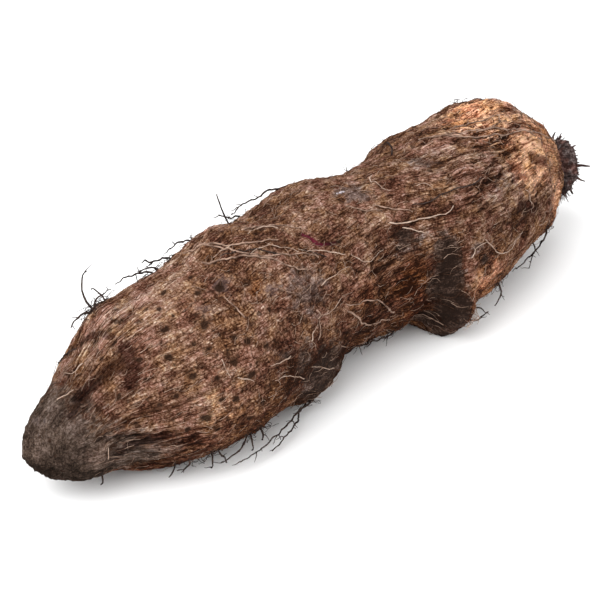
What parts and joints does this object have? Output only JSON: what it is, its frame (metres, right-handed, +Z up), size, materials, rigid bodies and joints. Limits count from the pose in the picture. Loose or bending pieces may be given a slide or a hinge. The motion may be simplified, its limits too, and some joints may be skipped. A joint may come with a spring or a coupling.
{
  "type": "purple yam",
  "caption": "Whole unpeeled purple yam lying on its side: lobed brown tuber with wiry rootlets, a rounded growing tip and a ragged vine stub at the other end.",
  "frame": {"origin": "centre of the yam's bounding box in plan, at the height of the surface it rests on", "axes": "+X along the yam from the growing tip to the vine end, +Z up, -Y the side that the picture shows"},
  "size_m": [0.3402, 0.1044, 0.084],
  "materials": {
    "bark": "matte",
    "vine_stub": "matte"
  },
  "bodies": {
    "root": {"tuber": "bark", "stem_stub": "vine_stub"}
  },
  "joints": []
}
